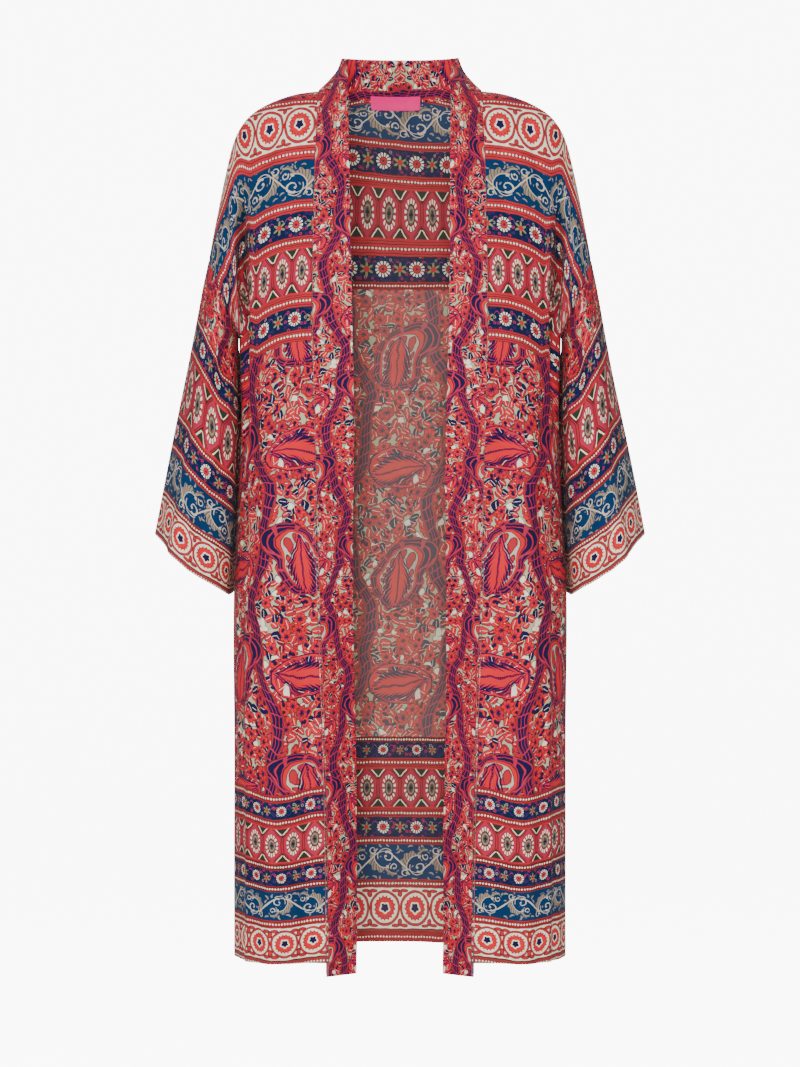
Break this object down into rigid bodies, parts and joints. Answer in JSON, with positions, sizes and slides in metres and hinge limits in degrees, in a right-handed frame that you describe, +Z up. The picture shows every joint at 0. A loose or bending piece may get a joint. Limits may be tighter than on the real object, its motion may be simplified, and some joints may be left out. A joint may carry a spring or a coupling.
{
  "type": "kimono coat, worn form",
  "caption": "Long open-front kimono coat in bordered printed cloth, in its hollow worn form: wide sleeves, dropped shoulders and a band round neck and front edges.",
  "frame": {"origin": "mid-way between the two neck points of the shoulders, at their height, where a wearer's shoulders hold the coat up", "axes": "+Z up, -Y towards the front of the coat, +X to the right of someone who looks at the front; left and right in names are seen from the front"},
  "size_m": [0.5948, 0.2424, 1.1038],
  "materials": {
    "printed_cloth": "light woven viscose, printed in coral red, navy, teal, cream and sage, soft matt with a faint sheen",
    "band_cloth": "the same printed viscose folded double, pressed flat",
    "label_satin": "plain hot pink woven satin, bare"
  },
  "bodies": {
    "root": {"back": "printed_cloth", "front_left": "printed_cloth", "front_right": "printed_cloth", "sleeve_left": "printed_cloth", "sleeve_right": "printed_cloth", "band_left": "band_cloth", "band_right": "band_cloth", "neck_label": "label_satin"}
  },
  "joints": []
}
